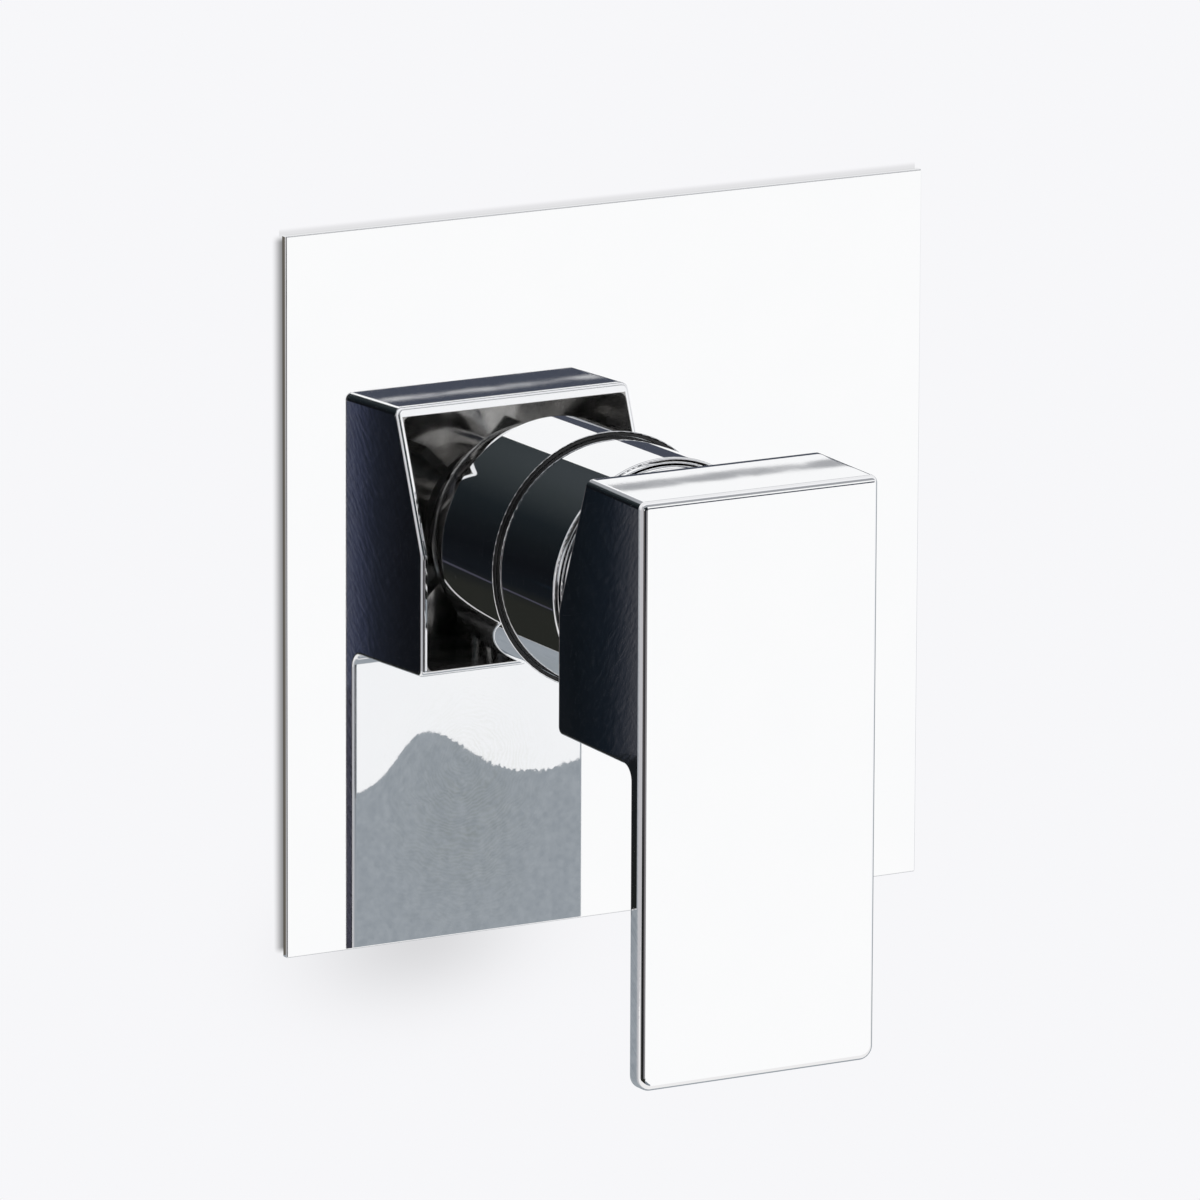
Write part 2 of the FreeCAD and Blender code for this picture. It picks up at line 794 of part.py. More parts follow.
def check_cage(side):
    cage = inlet_rod(cage_radius, cage_inner_end, cage_outer_end, side)
    half = cage_ring_wire / 2 + fit_gap / 2
    floor = passage_radius - cage_ring_wire - 2 * fit_gap
    groove = inlet_rod(cage_radius, cage_ring_x - half, cage_ring_x + half, side)
    cuts = [
        inlet_rod(cage_bore, guide_face, cage_outer_end - cage_end_thickness, side),
        inlet_rod(seat_radius, guide_face, cage_outer_end, side),
        inlet_rod(poppet_stem_radius + fit_gap, cage_inner_end, guide_face, side),
        groove.cut(inlet_rod(floor, cage_ring_x - half, cage_ring_x + half, side)),
    ]
    ring_of_holes = (poppet_stem_radius + fit_gap + cage_bore) / 2
    for step in range(6):
        angle = math.radians(60 * step)
        y = ring_of_holes * math.cos(angle)
        z = ring_of_holes * math.sin(angle)
        cuts.append(inlet_rod(guide_hole_radius, cage_inner_end, guide_face, side, y, z))
    return cage.cut(cuts)


def check_poppet(side):
    head = inlet_rod(poppet_radius, poppet_inner_face, poppet_outer_end, side)
    stem_end = cage_inner_end + poppet_lift / 2
    return head.fuse(inlet_rod(poppet_stem_radius, stem_end, poppet_inner_face, side))


def check_spring(side):
    """The closed outline of the small spring around the poppet's stem."""
    inner = poppet_stem_radius + loose_gap / 2
    start = guide_face + fit_gap
    end = poppet_inner_face - fit_gap
    return inlet_rod(inner + spring_wire, start, end, side).cut(inlet_rod(inner, start, end, side))


def check_o_rings():
    mid = passage_radius - cage_ring_wire / 2 - fit_gap
    rings = [crosswise_o_ring(mid, cage_ring_wire, side * cage_ring_x, branch_plane, 0) for side in SIDES]
    return Part.makeCompound(rings)


# Mounting bracket


def mounting_bracket():
    half = bracket_width / 2
    outline = rectangle(half, -bracket_drop, bracket_rise, bracket_corner_round, bracket_corner_round)
    plate = prism_inward(outline, core_back, bracket_back)
    cuts = []
    for side in SIDES:
        x = side * (half - bracket_hole_edge)
        for z in (bracket_rise - bracket_hole_edge, bracket_hole_edge - bracket_drop):
            cuts.append(axial(bracket_hole_radius, core_back, bracket_back, x, z))
    for x in bracket_screw_places():
        cuts.append(axial(bracket_screw_radius + fit_gap, core_back, bracket_back, x))
        cuts.append(bracket_screw_cone(x, fit_gap))
    return plate.cut(cuts)


def bracket_screw_cone(x, gap):
    """A countersunk head, flush with the bracket's back and larger by the gap given."""
    depth = bracket_screw_head - bracket_screw_radius
    place = Vector(x, bracket_back, 0)
    small = bracket_screw_radius + gap
    return Part.makeCone(bracket_screw_head + gap, small, depth, place, -INWARD)


def bracket_screws():
    screws = []
    for x in bracket_screw_places():
        shank = axial(bracket_screw_radius, bracket_back - bracket_screw_length, bracket_back, x)
        face = Vector(x, bracket_back, 0)
        key = hexagon(bracket_screw_key, face, face - INWARD * bracket_screw_key_depth)
        screws.append(shank.fuse(bracket_screw_cone(x, 0.0)).cut(key))
    return Part.makeCompound(screws)


NODES = {
    "faceplate": faceplate,
    "faceplate_gasket": faceplate_gasket,
    "plate_collar": plate_collar,
    "plate_o_ring": plate_o_ring,
    "sleeve": sleeve,
    "dome_cap": dome_cap,
    "sleeve_o_ring": sleeve_o_ring,
    "lever_handle": lever_handle,
    "handle_set_screw": handle_set_screw,
    "set_screw_plug": set_screw_plug,
    "lever_stem": lever_stem,
    "stem_rotor": stem_rotor,
    "pivot_pin": pivot_pin,
    "cartridge_housing": cartridge_housing,
    "hot_limit_ring": hot_limit_ring,
    "cartridge_nut": cartridge_nut,
    "disc_carrier": disc_carrier,
    "moving_disc": moving_disc,
    "fixed_disc": fixed_disc,
    "cartridge_base": cartridge_base,
    "base_seals": base_seals,
    "valve_body": valve_body,
    "balance_sleeve": balance_sleeve,
    "balance_spool": balance_spool,
    "balance_o_rings": balance_o_rings,
    "balance_caps": balance_caps,
    "cap_o_rings": cap_o_rings,
    "hot_check_cage": lambda: check_cage(-1),
    "cold_check_cage": lambda: check_cage(1),
    "hot_check_poppet": lambda: check_poppet(-1),
    "cold_check_poppet": lambda: check_poppet(1),
    "hot_check_spring": lambda: check_spring(-1),
    "cold_check_spring": lambda: check_spring(1),
    "check_o_rings": check_o_rings,
    "mounting_bracket": mounting_bracket,
    "bracket_screws": bracket_screws,
}

os.makedirs("parts", exist_ok=True)
for name, make in NODES.items():
    make().exportStep("parts/" + name + ".step")
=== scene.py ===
import json
import math

import bpy
from mathutils import Matrix, Vector

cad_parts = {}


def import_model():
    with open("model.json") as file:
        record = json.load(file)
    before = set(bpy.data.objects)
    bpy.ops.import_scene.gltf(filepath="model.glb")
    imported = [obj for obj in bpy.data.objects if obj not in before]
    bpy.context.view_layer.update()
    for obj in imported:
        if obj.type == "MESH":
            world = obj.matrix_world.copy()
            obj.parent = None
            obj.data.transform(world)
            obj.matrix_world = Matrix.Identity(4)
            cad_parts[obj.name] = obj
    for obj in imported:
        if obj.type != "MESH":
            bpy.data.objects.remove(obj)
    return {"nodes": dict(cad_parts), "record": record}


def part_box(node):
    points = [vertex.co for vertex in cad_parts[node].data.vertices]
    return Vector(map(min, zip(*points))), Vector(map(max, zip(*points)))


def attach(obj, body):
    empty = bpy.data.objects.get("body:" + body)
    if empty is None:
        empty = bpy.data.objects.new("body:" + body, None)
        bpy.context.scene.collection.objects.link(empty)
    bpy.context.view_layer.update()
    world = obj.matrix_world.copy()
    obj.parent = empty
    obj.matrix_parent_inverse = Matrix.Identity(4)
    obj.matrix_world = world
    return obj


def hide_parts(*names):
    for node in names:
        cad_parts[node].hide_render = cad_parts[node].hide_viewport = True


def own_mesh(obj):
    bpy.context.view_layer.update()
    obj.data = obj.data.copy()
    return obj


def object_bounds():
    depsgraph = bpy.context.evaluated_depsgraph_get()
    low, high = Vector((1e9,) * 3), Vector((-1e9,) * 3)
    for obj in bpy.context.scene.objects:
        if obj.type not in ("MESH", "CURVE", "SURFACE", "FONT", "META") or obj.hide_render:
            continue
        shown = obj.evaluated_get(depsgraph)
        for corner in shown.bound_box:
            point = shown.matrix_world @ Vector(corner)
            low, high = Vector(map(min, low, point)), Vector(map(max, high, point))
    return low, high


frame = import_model()
cad_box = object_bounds()
nodes = frame["nodes"]
mounts = {mount["name"]: mount for mount in frame["record"]["mounts"]}

# Camera, in degrees and metres
camera_azimuth = 30.06
camera_elevation = 12.84
camera_roll = 0.24
camera_distance = 2.5468
camera_lens = 371.8
sensor_width = 36.0
frame_right = -0.00141
frame_top = -0.00812

# Lever, in metres: the walls of its hollow hub
hub_wall = 0.0012
hub_front_wall = 0.003
hollow_bottom = -0.0263
hollow_top = 0.0256
hub_top_back = -0.0418
lever_back = -0.0600

# Waves that hand polishing left on the lever: how far they tip its surface, as a slope,
# and where they lie, in metres
back_wave = 0.092
back_wave_middle = -0.0108
back_wave_left = 0.009
back_wave_right = 0.0145
back_wave_edge = 0.012
back_wave_edge_start = 0.018
back_wave_edge_end = 0.026
back_wave_low = -0.064
back_wave_high = -0.042
back_wave_fade = 0.004
back_ripple = 0.0035
top_wave = 0.044
top_wave_middle = -0.0512
top_wave_half_width = 0.0047
top_wave_blur = 0.15
top_roll = 0.11
top_roll_reach = 0.0026
top_side_roll_reach = 0.0007

# Painted reflection on the lever's back: a faint darker patch with fine arcs in it, in metres,
# and how far the arcs wander, in radians
arcs_middle_x = -0.0006
arcs_middle_z = -0.0675
arcs_half_width = 0.015
arcs_half_height = 0.019
arcs_ring_middle_z = -0.054
arcs_ring_step = 0.0009
arcs_wobble = 45.0

# Pipe threads and springs, in metres
thread_pitch = 0.00181
thread_rise = 0.0006
thread_fill = 0.85
thread_end = 0.05
thread_steps = 40
spring_turns = 5
spring_wire = 0.0006
wire_sides = 8

# Studio, in metres
floor_height = -0.7
room_reach = 3.0
screen_plane = -0.8
screen_reach = 2.2
screen_top = 2.0
screen_step = 0.01
front_card_step = 0.05
dark_card_left = -1.10
dark_card_right = 0.09
teal_card_right = -0.57
teal_card_low = 0.17
edge_card_left = -0.56
edge_card_right = -0.50
edge_card_low = -0.262
edge_card_high = -0.15
hub_card_left = -0.456
hub_card_right = -0.424
hub_card_low = -0.232
hub_card_high = -0.148
lever_card_left = -0.431
lever_card_right = -0.4235
lever_card_low = -0.37
panel_left = -0.2
panel_low = -0.35
panel_high = -0.1
brown_card_right = -0.35
brown_card_low = -0.28
brown_card_high = -0.17
middle_card_right = 1.2
middle_card_top = 0.2415
soft_edge = 0.005
softbox_top = 0.56
window_left = -0.84
window_right = -0.60
window_low = -0.13
window_high = 0.15
table_card_left = 0.01
table_card_right = 0.36
table_card_high = -0.385
ground_height = -0.65
wall_gap = 0.0006
shadow_reach = 0.2
side_shade = 0.75
side_shade_full = -0.0010
side_shade_end = 0.0019
top_shade = 0.17
top_shade_end = 0.0012
wall_edge_reach = 0.004
wall_edge_light = 0.0014
wall_edge_dark = 0.0010
low_shade = 0.24
low_shade_middle = -0.043
low_shade_half_width = 0.024
low_shade_drop = 0.013

# Lamps: places and size in metres, power in watts
lamp_size = 0.8
key_lamp = (0.6, -1.2, 1.0)
key_power = 12.0
back_lamp = (-0.6, 1.4, 0.9)
back_power = 8.0

# Tones of the chrome: polished, brushed, darker in the painted reflection arcs, and left as cast inside the
# hub, where the darker tone is also painted shade
chrome_dark = (0.95, 0.955, 0.965, 1)
chrome_light = (0.97, 0.972, 0.975, 1)
brushed_tone = (0.78, 0.79, 0.81, 1)
reflection_arcs_tone = (0.81, 0.815, 0.77, 1)
cast_and_shade_dark = (0.29, 0.285, 0.275, 1)
cast_and_shade_light = (0.56, 0.55, 0.535, 1)

# Paint levels of the studio
background_white = (0.93, 0.93, 0.95, 1)
front_white = (1.0, 1.0, 1.0, 1)
slate = (0.065, 0.073, 0.098, 1)
ceiling_grey = (0.35, 0.36, 0.38, 1)
table_grey = (0.19, 0.215, 0.245, 1)
wall_grey = (0.29, 0.32, 0.35, 1)
wall_light_grey = (0.35, 0.38, 0.41, 1)
wall_far_grey = (0.51, 0.51, 0.53, 1)
wall_high_white = (0.86, 0.86, 0.87, 1)
room_grey = (0.51, 0.50, 0.52, 1)
room_teal = (0.06, 0.08, 0.085, 1)
panel_grey = (0.25, 0.24, 0.25, 1)
ground_grey = (0.88, 0.87, 0.87, 1)
room_brown = (0.09, 0.08, 0.078, 1)
lever_violet = (0.066, 0.065, 0.090, 1)
edge_brown = (0.115, 0.105, 0.09, 1)
edge_light = (0.33, 0.31, 0.29, 1)
dark_stops = [
    (floor_height, (0.020, 0.021, 0.018, 1)),
    (-0.36, (0.020, 0.021, 0.018, 1)),
    (-0.24, (0.007, 0.009, 0.012, 1)),
    (-0.05, (0.005, 0.006, 0.008, 1)),
    (0.12, (0.007, 0.009, 0.011, 1)),
    (0.30, (0.011, 0.015, 0.018, 1)),
    (0.38, (0.020, 0.025, 0.028, 1)),
    (0.48, (0.035, 0.042, 0.045, 1)),
    (softbox_top, (0.052, 0.060, 0.066, 1)),
]
edge_stops = [
    (edge_card_left, (0.066, 0.067, 0.076, 1)),
    (-0.5225, (0.066, 0.067, 0.076, 1)),
    (-0.518, (0.026, 0.030, 0.040, 1)),
    (-0.513, (0.008, 0.012, 0.018, 1)),
    (edge_card_right, (0.005, 0.007, 0.009, 1)),
]
hub_stops = [
    (hub_card_left, (0.005, 0.006, 0.008, 1)),
    (-0.446, (0.007, 0.008, 0.011, 1)),
    (-0.437, (0.014, 0.017, 0.026, 1)),
    (-0.4325, (0.033, 0.039, 0.068, 1)),
    (-0.4285, (0.075, 0.082, 0.124, 1)),
    (hub_card_right, (0.120, 0.120, 0.145, 1)),
]


# Small helpers for node materials


def new_material(name):
    material = bpy.data.materials.new(name)
    material.use_nodes = True
    tree = material.node_tree
    return material, tree, tree.nodes["Principled BSDF"]


def add(tree, kind, **settings):
    node = tree.nodes.new(kind)
    for key, value in settings.items():
        if key in node.inputs:
            node.inputs[key].default_value = value
        else:
            setattr(node, key, value)
    return node


def link(tree, source, target):
    tree.links.new(source, target)


def position(tree):
    return add(tree, "ShaderNodeTexCoord").outputs["Object"]


def noise(tree, scale, detail=2.0, stretch=None, turn=None):
    """Noise over the surface. stretch draws it out into streaks along the axes, turned first."""
    texture = add(tree, "ShaderNodeTexNoise", Scale=scale, Detail=detail)
    place = position(tree)
    if stretch:
        mapping = add(tree, "ShaderNodeMapping", Scale=stretch)
        if turn:
            mapping.vector_type = "TEXTURE"
            mapping.inputs["Rotation"].default_value = turn
            mapping.inputs["Scale"].default_value = [1 / value for value in stretch]
        link(tree, place, mapping.inputs["Vector"])
        place = mapping.outputs["Vector"]
    link(tree, place, texture.inputs["Vector"])
    return texture.outputs["Fac"]


def spread(tree, value, low, high, from_low=0.3, from_high=0.7, smooth=False):
    span = add(tree, "ShaderNodeMapRange")
    span.inputs["From Min"].default_value = from_low
    span.inputs["From Max"].default_value = from_high
    span.inputs["To Min"].default_value = low
    span.inputs["To Max"].default_value = high
    if smooth:
        span.interpolation_type = "SMOOTHSTEP"
    link(tree, value, span.inputs["Value"])
    return span.outputs["Result"]


def maths(tree, operation, first, second):
    """One sum of two values, each a socket or a number."""
    node = add(tree, "ShaderNodeMath", operation=operation)
    for slot, value in enumerate((first, second)):
        if isinstance(value, (int, float)):
            node.inputs[slot].default_value = value
        else:
            link(tree, value, node.inputs[slot])
    return node.outputs["Value"]


def colours(tree, value, first, second):
    """A colour between two, each a socket or a plain colour."""
    mix = add(tree, "ShaderNodeMix", data_type="RGBA")
    for slot, colour in (("A", first), ("B", second)):
        if isinstance(colour, tuple):
            mix.inputs[slot].default_value = colour
        else:
            link(tree, colour, mix.inputs[slot])
    link(tree, value, mix.inputs["Factor"])
    return mix.outputs["Result"]


def bump(tree, height, strength, distance):
    node = add(tree, "ShaderNodeBump", Strength=strength, Distance=distance)
    link(tree, height, node.inputs["Height"])
    return node


def coat(tree, shader, colour, roughness, relief=None):
    """Joins a shader's colour and roughness, and its bump where there is one."""
    link(tree, colour, shader.inputs["Base Color"])
    link(tree, roughness, shader.inputs["Roughness"])
    if relief:
        link(tree, relief.outputs["Normal"], shader.inputs["Normal"])


def place_axes(tree):
    split = add(tree, "ShaderNodeSeparateXYZ")
    link(tree, position(tree), split.inputs["Vector"])
    return split.outputs["X"], split.outputs["Y"], split.outputs["Z"]


def within(tree, value, low, high):
    """One between the two limits, and zero outside."""
    above = maths(tree, "GREATER_THAN", value, low)
    below = maths(tree, "LESS_THAN", value, high)
    return maths(tree, "MULTIPLY", above, below)


# Materials


def chrome(name):
    material, tree, shader = new_material(name)
    shader.inputs["Metallic"].default_value = 1.0
    tone = colours(tree, noise(tree, 60.0, 4.0), chrome_dark, chrome_light)
    coat(tree, shader, tone, spread(tree, noise(tree, 300.0, 3.0), 0.01, 0.025))
    return material


def hub_hollow(tree, axes):
    """One inside the cast hub, zero on its polished outside."""
    low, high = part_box("lever_handle")
    slack = hub_wall / 20
    across = within(tree, axes[0], low[0] + hub_wall - slack, high[0] - hub_wall + slack)
    along = maths(tree, "GREATER_THAN", axes[1], low[1] + hub_front_wall - slack)
    upright = within(tree, axes[2], hollow_bottom - slack, hollow_top + slack)
    return maths(tree, "MULTIPLY", maths(tree, "MULTIPLY", across, along), upright)


def mound(tree, value, middle, half_width):
    """A soft bell curve over a value, one at its middle."""
    away = maths(tree, "DIVIDE", maths(tree, "SUBTRACT", value, middle), half_width)
    return maths(tree, "POWER", math.exp(-1), maths(tree, "MULTIPLY", away, away))


def back_tilt(tree, axes):
    """How far the polishing waves tip the lever's back downward."""
    on_back = within(tree, axes[1], lever_back - hub_wall / 2, lever_back + hub_wall / 2)
    left = mound(tree, axes[0], back_wave_middle, back_wave_left)
    right = mound(tree, axes[0], back_wave_middle, back_wave_right)
    at_right = maths(tree, "GREATER_THAN", axes[0], back_wave_middle)
    middle = add(tree, "ShaderNodeMix", data_type="FLOAT")
    link(tree, at_right, middle.inputs["Factor"])
    link(tree, left, middle.inputs["A"])
    link(tree, right, middle.inputs["B"])
    edge = spread(tree, axes[0], 0.0, back_wave_edge, back_wave_edge_start, back_wave_edge_end, smooth=True)
    across = maths(tree, "ADD", maths(tree, "MULTIPLY", middle.outputs["Result"], back_wave), edge)
    ripple = spread(tree, noise(tree, 900.0, 3.0), -back_ripple, back_ripple)
    across = maths(tree, "ADD", across, maths(tree, "MULTIPLY", ripple, at_right))
    rise = spread(tree, axes[2], 0.0, 1.0, back_wave_low, back_wave_low + back_wave_fade, smooth=True)
    fall = spread(tree, axes[2], 1.0, 0.0, back_wave_high - back_wave_fade, back_wave_high, smooth=True)
    upright = maths(tree, "MULTIPLY", rise, fall)
    return maths(tree, "MULTIPLY", maths(tree, "MULTIPLY", across, upright), on_back)


def waved_normal(tree, axes, facing, top_streak, on_top):
    """The surface's direction with the polishing waves on the lever's back and on top of its hub."""
    waves = add(tree, "ShaderNodeCombineXYZ")
    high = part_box("lever_handle")[1]
    roll_start = hub_top_back - top_roll_reach
    back_roll = spread(tree, axes[1], 0.0, top_roll, roll_start, hub_top_back, smooth=True)
    side_start = high[0] - 3 * top_side_roll_reach
    side_roll = spread(tree, axes[0], 0.0, top_roll, side_start, high[0] - top_side_roll_reach)
    tip_back = maths(tree, "ADD", maths(tree, "MULTIPLY", top_streak, top_wave), back_roll)
    link(tree, maths(tree, "MULTIPLY", side_roll, on_top), waves.inputs["X"])
    link(tree, maths(tree, "MULTIPLY", tip_back, on_top), waves.inputs["Y"])
    link(tree, maths(tree, "MULTIPLY", back_tilt(tree, axes), -1.0), waves.inputs["Z"])
    total = add(tree, "ShaderNodeVectorMath", operation="ADD")
    link(tree, facing, total.inputs[0])
    link(tree, waves.outputs["Vector"], total.inputs[1])
    turned = add(tree, "ShaderNodeVectorTransform", vector_type="NORMAL")
    turned.convert_from = "OBJECT"
    turned.convert_to = "WORLD"
    link(tree, total.outputs["Vector"], turned.inputs["Vector"])
    return turned.outputs["Vector"]


def brush_lines(tree, facing):
    """Fine slanted polishing lines on the hub's left and right."""
    lines = noise(tree, 2200.0, 2.0, (1.0, 1.0, 0.03), (-0.8, 0.0, 0.0))
    sideways = maths(tree, "GREATER_THAN", maths(tree, "ABSOLUTE", facing, 0.0), 0.95)
    return maths(tree, "MULTIPLY", spread(tree, lines, 0.0, 1.0), sideways)


def painted_back_reflection(tree, axes):
    """Painted reflection: faint darker wavy arcs in the colour of the lever's back."""
    away = add(tree, "ShaderNodeVectorMath", operation="DISTANCE")
    link(tree, position(tree), away.inputs[0])
    away.inputs[1].default_value = (arcs_middle_x, lever_back, arcs_ring_middle_z)
    turns = maths(tree, "MULTIPLY", away.outputs["Value"], 2 * math.pi / arcs_ring_step)
    wobble = maths(tree, "MULTIPLY", noise(tree, 170.0, 4.0), arcs_wobble)
    rings = maths(tree, "SINE", maths(tree, "ADD", turns, wobble), 0.0)
    across = mound(tree, axes[0], arcs_middle_x, arcs_half_width)
    upright = mound(tree, axes[2], arcs_middle_z, arcs_half_height)
    on_back = within(tree, axes[1], lever_back - hub_wall / 2, lever_back + hub_wall / 2)
    patch = maths(tree, "MULTIPLY", maths(tree, "MULTIPLY", across, upright), on_back)
    patch = maths(tree, "MULTIPLY", patch, spread(tree, noise(tree, 320.0, 3.0), 0.35, 1.0))
    return maths(tree, "MULTIPLY", patch, spread(tree, rings, 0.25, 1.0, -1.0, 1.0))


def handle_chrome(name):
    """Polished chrome outside with fine polishing marks, and duller plating inside the cast hub, darkened
    further there as painted shade in the hollow.
    """
    material, tree, shader = new_material(name)
    axes = place_axes(tree)
    facing = add(tree, "ShaderNodeTexCoord").outputs["Normal"]
    split = add(tree, "ShaderNodeSeparateXYZ")
    link(tree, facing, split.inputs["Vector"])
    hollow = hub_hollow(tree, axes)
    link(tree, spread(tree, hollow, 1.0, 0.8, 0.0, 1.0), shader.inputs["Metallic"])
    polished = colours(tree, noise(tree, 60.0, 4.0), chrome_dark, chrome_light)
    polished = colours(tree, brush_lines(tree, split.outputs["X"]), polished, brushed_tone)
    # Painted reflection: darker arcs in the colour of the lever's back
    polished = colours(tree, painted_back_reflection(tree, axes), polished, reflection_arcs_tone)
    cast = noise(tree, 140.0, 5.0)
    # Painted shade: the hollow's darker tone is duller cast plating and also stands for the shade inside
    # the hub
    dull_and_shaded = colours(tree, spread(tree, cast, 0.0, 1.0), cast_and_shade_dark, cast_and_shade_light)
    link(tree, colours(tree, hollow, polished, dull_and_shaded), shader.inputs["Base Color"])
    facing_up = maths(tree, "GREATER_THAN", split.outputs["Z"], 0.95)
    on_top = maths(tree, "MULTIPLY", facing_up, maths(tree, "GREATER_THAN", axes[2], hollow_top))
    patches = spread(tree, noise(tree, 70.0, 4.0), 0.6, 1.2)
    streak = maths(tree, "MULTIPLY", mound(tree, axes[1], top_wave_middle, top_wave_half_width), patches)
    top_streak = maths(tree, "MULTIPLY", streak, on_top)
    marks = noise(tree, 900.0, 3.0, (1.0, 1.0, 0.03), (0.7, 0.5, 0.0))
    marks = maths(tree, "MULTIPLY", marks, spread(tree, on_top, 1.0, 0.6, 0.0, 1.0))
    shine = spread(tree, marks, 0.012, 0.05, 0.45, 0.75)
    shine = maths(tree, "ADD", shine, maths(tree, "MULTIPLY", top_streak, top_wave_blur))
    satin = spread(tree, cast, 0.07, 0.16)
    rough = add(tree, "ShaderNodeMix", data_type="FLOAT")
    link(tree, hollow, rough.inputs["Factor"])
    link(tree, shine, rough.inputs["A"])
    link(tree, satin, rough.inputs["B"])
    link(tree, rough.outputs["Result"], shader.inputs["Roughness"])
    scratches = bump(tree, marks, 0.05, 0.00005)
    link(tree, waved_normal(tree, axes, facing, top_streak, on_top), scratches.inputs["Normal"])
    link(tree, scratches.outputs["Normal"], shader.inputs["Normal"])
    return material


def cast_brass(name):
    material, tree, shader = new_material(name)
    shader.inputs["Metallic"].default_value = 1.0
    tone = colours(tree, noise(tree, 45.0, 6.0), (0.60, 0.42, 0.17, 1), (0.80, 0.62, 0.32, 1))
    gloss = spread(tree, noise(tree, 220.0, 5.0), 0.28, 0.5)
    coat(tree, shader, tone, gloss, bump(tree, noise(tree, 900.0, 4.0), 0.25, 0.0004))
    return material


def machined_steel(name):
    material, tree, shader = new_material(name)
    shader.inputs["Metallic"].default_value = 1.0
    streaks = noise(tree, 400.0, 3.0, (6.0, 6.0, 0.4))
    tone = colours(tree, streaks, (0.52, 0.52, 0.51, 1), (0.70, 0.70, 0.69, 1))
    coat(tree, shader, tone, spread(tree, streaks, 0.2, 0.38), bump(tree, streaks, 0.08, 0.0002))
    return material


def rubber(name, shine, dusty=1.0):
    """Black rubber. A lower share of dust makes it cleaner and glossier."""
    material, tree, shader = new_material(name)
    dust = maths(tree, "MULTIPLY", noise(tree, 150.0, 5.0), dusty)
    tone = colours(tree, dust, (0.006, 0.006, 0.006, 1), (0.05, 0.048, 0.046, 1))
    skin = bump(tree, noise(tree, 2500.0, 2.0), 0.15, 0.0001)
    coat(tree, shader, tone, spread(tree, dust, shine, shine + 0.2), skin)
    return material


def foam(name):
    material, tree, shader = new_material(name)
    cells = add(tree, "ShaderNodeTexVoronoi", Scale=900.0)
    link(tree, position(tree), cells.inputs["Vector"])
    cell = cells.outputs["Distance"]
    tone = colours(tree, cell, (0.05, 0.05, 0.05, 1), (0.12, 0.12, 0.125, 1))
    link(tree, tone, shader.inputs["Base Color"])
    shader.inputs["Roughness"].default_value = 0.9
    link(tree, bump(tree, cell, 0.6, 0.0004).outputs["Normal"], shader.inputs["Normal"])
    return material


def plastic(name, dark, light, shine):
    material, tree, shader = new_material(name)
    tone = colours(tree, noise(tree, 90.0, 4.0), dark, light)
    gloss = spread(tree, noise(tree, 700.0, 3.0), shine, shine + 0.15)
    coat(tree, shader, tone, gloss, bump(tree, noise(tree, 1800.0, 2.0), 0.08, 0.0002))
    return material


def ceramic(name):
    material, tree, shader = new_material(name)
    speckle = noise(tree, 1200.0, 6.0)
    tone = colours(tree, speckle, (0.78, 0.76, 0.72, 1), (0.90, 0.89, 0.86, 1))
    coat(tree, shader, tone, spread(tree, speckle, 0.12, 0.25))
    return material


def make_looks():
    return {
        "chrome": chrome("chrome"),
        "brass": cast_brass("brass"),
        "steel": machined_steel("steel"),
        "black_rubber": rubber("black_rubber", 0.5),
        "foam": foam("foam"),
        "black_plastic": plastic("black_plastic", (0.018, 0.018, 0.02, 1), (0.04, 0.04, 0.045, 1), 0.35),
        "white_plastic": plastic("white_plastic", (0.72, 0.72, 0.69, 1), (0.82, 0.82, 0.79, 1), 0.3),
        "grey_plastic": plastic("grey_plastic", (0.26, 0.27, 0.28, 1), (0.36, 0.37, 0.38, 1), 0.35),
        "red_plastic": plastic("red_plastic", (0.50, 0.03, 0.025, 1), (0.62, 0.05, 0.04, 1), 0.3),
        "ceramic": ceramic("ceramic"),
    }


def dress_nodes(looks):
    own_looks = {
        "lever_handle": handle_chrome("handle_chrome"),
        "plate_o_ring": rubber("foot_ring", 0.05, 0.1),
    }
    for part in frame["record"]["subparts"]:
        mesh = nodes[part["node"]].data
        mesh.materials.clear()
        mesh.materials.append(own_looks.get(part["node"], looks[part["material_slot"]]))


# Small pieces


def piece_from(name, points, faces, material):
    mesh = bpy.data.meshes.new(name)
    mesh.from_pydata([tuple(point) for point in points], [], faces)
    mesh.polygons.foreach_set("use_smooth", [True] * len(mesh.polygons))
    mesh.materials.append(material)
    piece = bpy.data.objects.new(name, mesh)
    bpy.context.scene.collection.objects.link(piece)
    return piece


def swept(name, sections, material):
    """A closed bar through a row of sections, each a ring of points, with both ends capped."""
    count = len(sections[0])
    points = [point for section in sections for point in section]
    faces = []
    for i in range(len(sections) - 1):
        for k in range(count):
            following = (k + 1) % count
            start = i * count
            faces.append((start + k, start + following, start + count + following, start + count + k))
    last = (len(sections) - 1) * count
    faces.append(tuple(reversed(range(count))))
    faces.append(tuple(range(last, last + count)))
    return piece_from(name, points, faces, material)


def around(axis):
    """Two directions square to an axis and to each other."""
    side = Vector((0, 1, 0)) if abs(axis.y) < 0.5 else Vector((1, 0, 0))
    other = axis.cross(side).normalized()
    return other.cross(axis).normalized(), other


